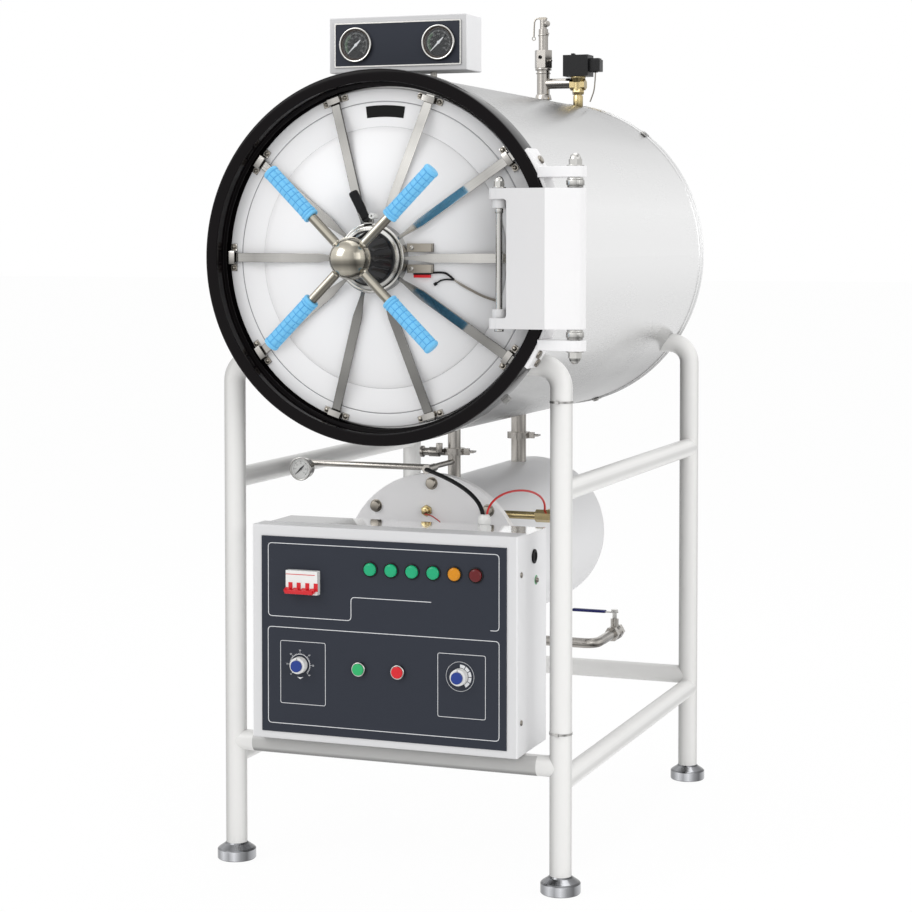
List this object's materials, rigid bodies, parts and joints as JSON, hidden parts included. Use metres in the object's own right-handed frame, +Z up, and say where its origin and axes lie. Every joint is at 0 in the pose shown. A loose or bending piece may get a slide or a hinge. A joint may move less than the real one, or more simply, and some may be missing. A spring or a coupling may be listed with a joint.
{
  "type": "horizontal autoclave",
  "caption": "Horizontal cylindrical steam steriliser with a hand-wheel locked door on a double hinge, electric steam generator and control box below, on a tubular stand",
  "frame": {"origin": "On the floor, midway between the four legs of the stand", "axes": "+Z up, +Y to the rear along the vessel, +X to the hinge side of the door"},
  "size_m": [0.8065, 1.299, 1.77],
  "materials": {
    "frame": "gloss paint",
    "feet": "bright",
    "chamber": "bright",
    "insulation": "mineral wool",
    "jacket": "bright",
    "rear_cover": "bright",
    "locking_ring": "crinkle paint",
    "loading_tray": "bright",
    "hinge_bracket": "gloss paint",
    "hinge_post": "bright",
    "bolts": "bright",
    "gauge_box": "gloss paint",
    "gauges": "bright",
    "steam_pipes": "bright",
    "steel_valves": "bright",
    "brass_valves": "machined",
    "vent_coil": "moulded",
    "control_case": "gloss paint",
    "control_cover": "gloss paint",
    "control_panel": "satin",
    "contactors": "bright",
    "panel_fittings": "moulded",
    "lamps": "coloured lens",
    "breaker": "moulded",
    "generator_tank": "gloss paint",
    "generator_flange": "gloss paint",
    "heaters": "bright",
    "leads": "moulded",
    "door_plate": "gloss paint",
    "door_gasket": "silicone",
    "hub_housing": "bright",
    "bar_guides": "bright",
    "door_switch": "moulded",
    "wheel_hub": "bright",
    "wheel_boss": "moulded",
    "wheel_grips": "moulded",
    "scroll_plate": "satin",
    "link_plate": "gloss paint",
    "door_pin": "bright",
    "bar_0": "brushed",
    "bar_1": "brushed",
    "bar_2": "brushed",
    "bar_3": "brushed",
    "bar_4": "brushed",
    "bar_5": "brushed",
    "bar_6": "brushed",
    "bar_7": "brushed",
    "bar_8": "brushed",
    "bar_9": "brushed",
    "relief_lever": "bright",
    "breaker_toggle": "moulded",
    "start_button": "moulded",
    "stop_button": "moulded",
    "timer_knob": "moulded",
    "temperature_knob": "moulded",
    "drain_lever": "dipped",
    "interlock_lever": "moulded",
    "needle_left": "matt",
    "needle_right": "matt",
    "needle_small": "matt"
  },
  "bodies": {
    "machine": {"frame": "frame", "feet": "feet", "chamber": "chamber", "insulation": "insulation", "jacket": "jacket", "rear_cover": "rear_cover", "locking_ring": "locking_ring", "loading_tray": "loading_tray", "hinge_bracket": "hinge_bracket", "hinge_post": "hinge_post", "bolts": "bolts", "gauge_box": "gauge_box", "gauges": "gauges", "steam_pipes": "steam_pipes", "steel_valves": "steel_valves", "brass_valves": "brass_valves", "vent_coil": "vent_coil", "control_case": "control_case", "control_cover": "control_cover", "control_panel": "control_panel", "contactors": "contactors", "panel_fittings": "panel_fittings", "lamps": "lamps", "breaker": "breaker", "generator_tank": "generator_tank", "generator_flange": "generator_flange", "heaters": "heaters", "leads": "leads"},
    "door": {"door_plate": "door_plate", "door_gasket": "door_gasket", "hub_housing": "hub_housing", "bar_guides": "bar_guides", "door_switch": "door_switch"},
    "hand_wheel": {"wheel_hub": "wheel_hub", "wheel_boss": "wheel_boss", "wheel_grips": "wheel_grips", "scroll_plate": "scroll_plate"},
    "link": {"link_plate": "link_plate", "door_pin": "door_pin"},
    "locking_bar_0": {"bar_0": "bar_0"},
    "locking_bar_1": {"bar_1": "bar_1"},
    "locking_bar_2": {"bar_2": "bar_2"},
    "locking_bar_3": {"bar_3": "bar_3"},
    "locking_bar_4": {"bar_4": "bar_4"},
    "locking_bar_5": {"bar_5": "bar_5"},
    "locking_bar_6": {"bar_6": "bar_6"},
    "locking_bar_7": {"bar_7": "bar_7"},
    "locking_bar_8": {"bar_8": "bar_8"},
    "locking_bar_9": {"bar_9": "bar_9"},
    "relief_lever_body": {"relief_lever": "relief_lever"},
    "breaker_toggle_body": {"breaker_toggle": "breaker_toggle"},
    "start_button_body": {"start_button": "start_button"},
    "stop_button_body": {"stop_button": "stop_button"},
    "timer_knob_body": {"timer_knob": "timer_knob"},
    "temperature_knob_body": {"temperature_knob": "temperature_knob"},
    "drain_lever_body": {"drain_lever": "drain_lever"},
    "interlock_lever_body": {"interlock_lever": "interlock_lever"},
    "needle_left_body": {"needle_left": "needle_left"},
    "needle_right_body": {"needle_right": "needle_right"},
    "needle_small_body": {"needle_small": "needle_small"}
  },
  "joints": [
    {"name": "link_swing", "type": "hinge", "parent": "machine", "child": "link", "pos_m": [0.402, -0.578, 1.217], "axis": [0, 0, 1], "range_deg": [0, 140]},
    {"name": "door_pivot", "type": "hinge", "parent": "link", "child": "door", "pos_m": [0.258, -0.592, 1.217], "axis": [0, 0, 1], "range_deg": [-35.1, 0.1]},
    {"name": "hand_wheel_turn", "type": "hinge", "parent": "door", "child": "hand_wheel", "pos_m": [0, -0.693, 1.217], "axis": [0, 1, 0], "range_deg": [0, 60]},
    {"name": "bar_slide_0", "type": "slide", "parent": "door", "child": "locking_bar_0", "axis": [0.9851, 0.1721, 0], "range_m": [0, 0.0141]},
    {"name": "bar_slide_1", "type": "slide", "parent": "door", "child": "locking_bar_1", "axis": [0.7969, 0.1721, 0.579], "range_m": [0, 0.0141]},
    {"name": "bar_slide_2", "type": "slide", "parent": "door", "child": "locking_bar_2", "axis": [0.3044, 0.1721, 0.9369], "range_m": [0, 0.0141]},
    {"name": "bar_slide_3", "type": "slide", "parent": "door", "child": "locking_bar_3", "axis": [-0.3044, 0.1721, 0.9369], "range_m": [0, 0.0141]},
    {"name": "bar_slide_4", "type": "slide", "parent": "door", "child": "locking_bar_4", "axis": [-0.7969, 0.1721, 0.579], "range_m": [0, 0.0141]},
    {"name": "bar_slide_5", "type": "slide", "parent": "door", "child": "locking_bar_5", "axis": [-0.9851, 0.1721, 0], "range_m": [0, 0.0141]},
    {"name": "bar_slide_6", "type": "slide", "parent": "door", "child": "locking_bar_6", "axis": [-0.7969, 0.1721, -0.579], "range_m": [0, 0.0141]},
    {"name": "bar_slide_7", "type": "slide", "parent": "door", "child": "locking_bar_7", "axis": [-0.3044, 0.1721, -0.9369], "range_m": [0, 0.0141]},
    {"name": "bar_slide_8", "type": "slide", "parent": "door", "child": "locking_bar_8", "axis": [0.3044, 0.1721, -0.9369], "range_m": [0, 0.0141]},
    {"name": "bar_slide_9", "type": "slide", "parent": "door", "child": "locking_bar_9", "axis": [0.7969, 0.1721, -0.579], "range_m": [0, 0.0141]},
    {"name": "interlock_tip", "type": "hinge", "parent": "door", "child": "interlock_lever_body", "pos_m": [-0.006, -0.593, 1.292], "axis": [0, 1, 0], "range_deg": [0, 25]},
    {"name": "relief_lift", "type": "hinge", "parent": "machine", "child": "relief_lever_body", "pos_m": [0.006, 0.446, 1.767], "axis": [0, 1, 0], "range_deg": [0, 25]},
    {"name": "breaker_switch", "type": "hinge", "parent": "machine", "child": "breaker_toggle_body", "pos_m": [-0.17, -0.541, 0.57], "axis": [-1, 0, 0], "range_deg": [0, 38]},
    {"name": "start_press", "type": "slide", "parent": "machine", "child": "start_button_body", "axis": [0, 1, 0], "range_m": [0, 0.0035], "stiffness_N_per_m": 300, "springref_m": -0.002},
    {"name": "stop_press", "type": "slide", "parent": "machine", "child": "stop_button_body", "axis": [0, 1, 0], "range_m": [0, 0.0035], "stiffness_N_per_m": 300, "springref_m": -0.002},
    {"name": "timer_turn", "type": "hinge", "parent": "machine", "child": "timer_knob_body", "pos_m": [-0.1774, -0.535, 0.415], "axis": [0, 1, 0], "range_deg": [0, 270]},
    {"name": "temperature_turn", "type": "hinge", "parent": "machine", "child": "temperature_knob_body", "pos_m": [0.1592, -0.535, 0.415], "axis": [0, 1, 0], "range_deg": [0, 270]},
    {"name": "drain_turn", "type": "hinge", "parent": "machine", "child": "drain_lever_body", "pos_m": [0.215, 0.318, 0.374], "axis": [0, 0, 1], "range_deg": [-90, 0]},
    {"name": "needle_left_turn", "type": "hinge", "parent": "machine", "child": "needle_left_body", "pos_m": [-0.087, -0.459, 1.634], "axis": [0, 1, 0], "range_deg": [0, 270]},
    {"name": "needle_right_turn", "type": "hinge", "parent": "machine", "child": "needle_right_body", "pos_m": [0.087, -0.459, 1.634], "axis": [0, 1, 0], "range_deg": [0, 270]},
    {"name": "needle_small_turn", "type": "hinge", "parent": "machine", "child": "needle_small_body", "pos_m": [-0.277, -0.311, 0.777], "axis": [0, 1, 0], "range_deg": [0, 270]}
  ],
  "couplings": [
    {"joint": "door_pivot", "follows": "link_swing", "ratio": -0.25},
    {"joint": "bar_slide_0", "follows": "hand_wheel_turn", "m_per_rad": 0.013369},
    {"joint": "bar_slide_1", "follows": "hand_wheel_turn", "m_per_rad": 0.013369},
    {"joint": "bar_slide_2", "follows": "hand_wheel_turn", "m_per_rad": 0.013369},
    {"joint": "bar_slide_3", "follows": "hand_wheel_turn", "m_per_rad": 0.013369},
    {"joint": "bar_slide_4", "follows": "hand_wheel_turn", "m_per_rad": 0.013369},
    {"joint": "bar_slide_5", "follows": "hand_wheel_turn", "m_per_rad": 0.013369},
    {"joint": "bar_slide_6", "follows": "hand_wheel_turn", "m_per_rad": 0.013369},
    {"joint": "bar_slide_7", "follows": "hand_wheel_turn", "m_per_rad": 0.013369},
    {"joint": "bar_slide_8", "follows": "hand_wheel_turn", "m_per_rad": 0.013369},
    {"joint": "bar_slide_9", "follows": "hand_wheel_turn", "m_per_rad": 0.013369}
  ]
}
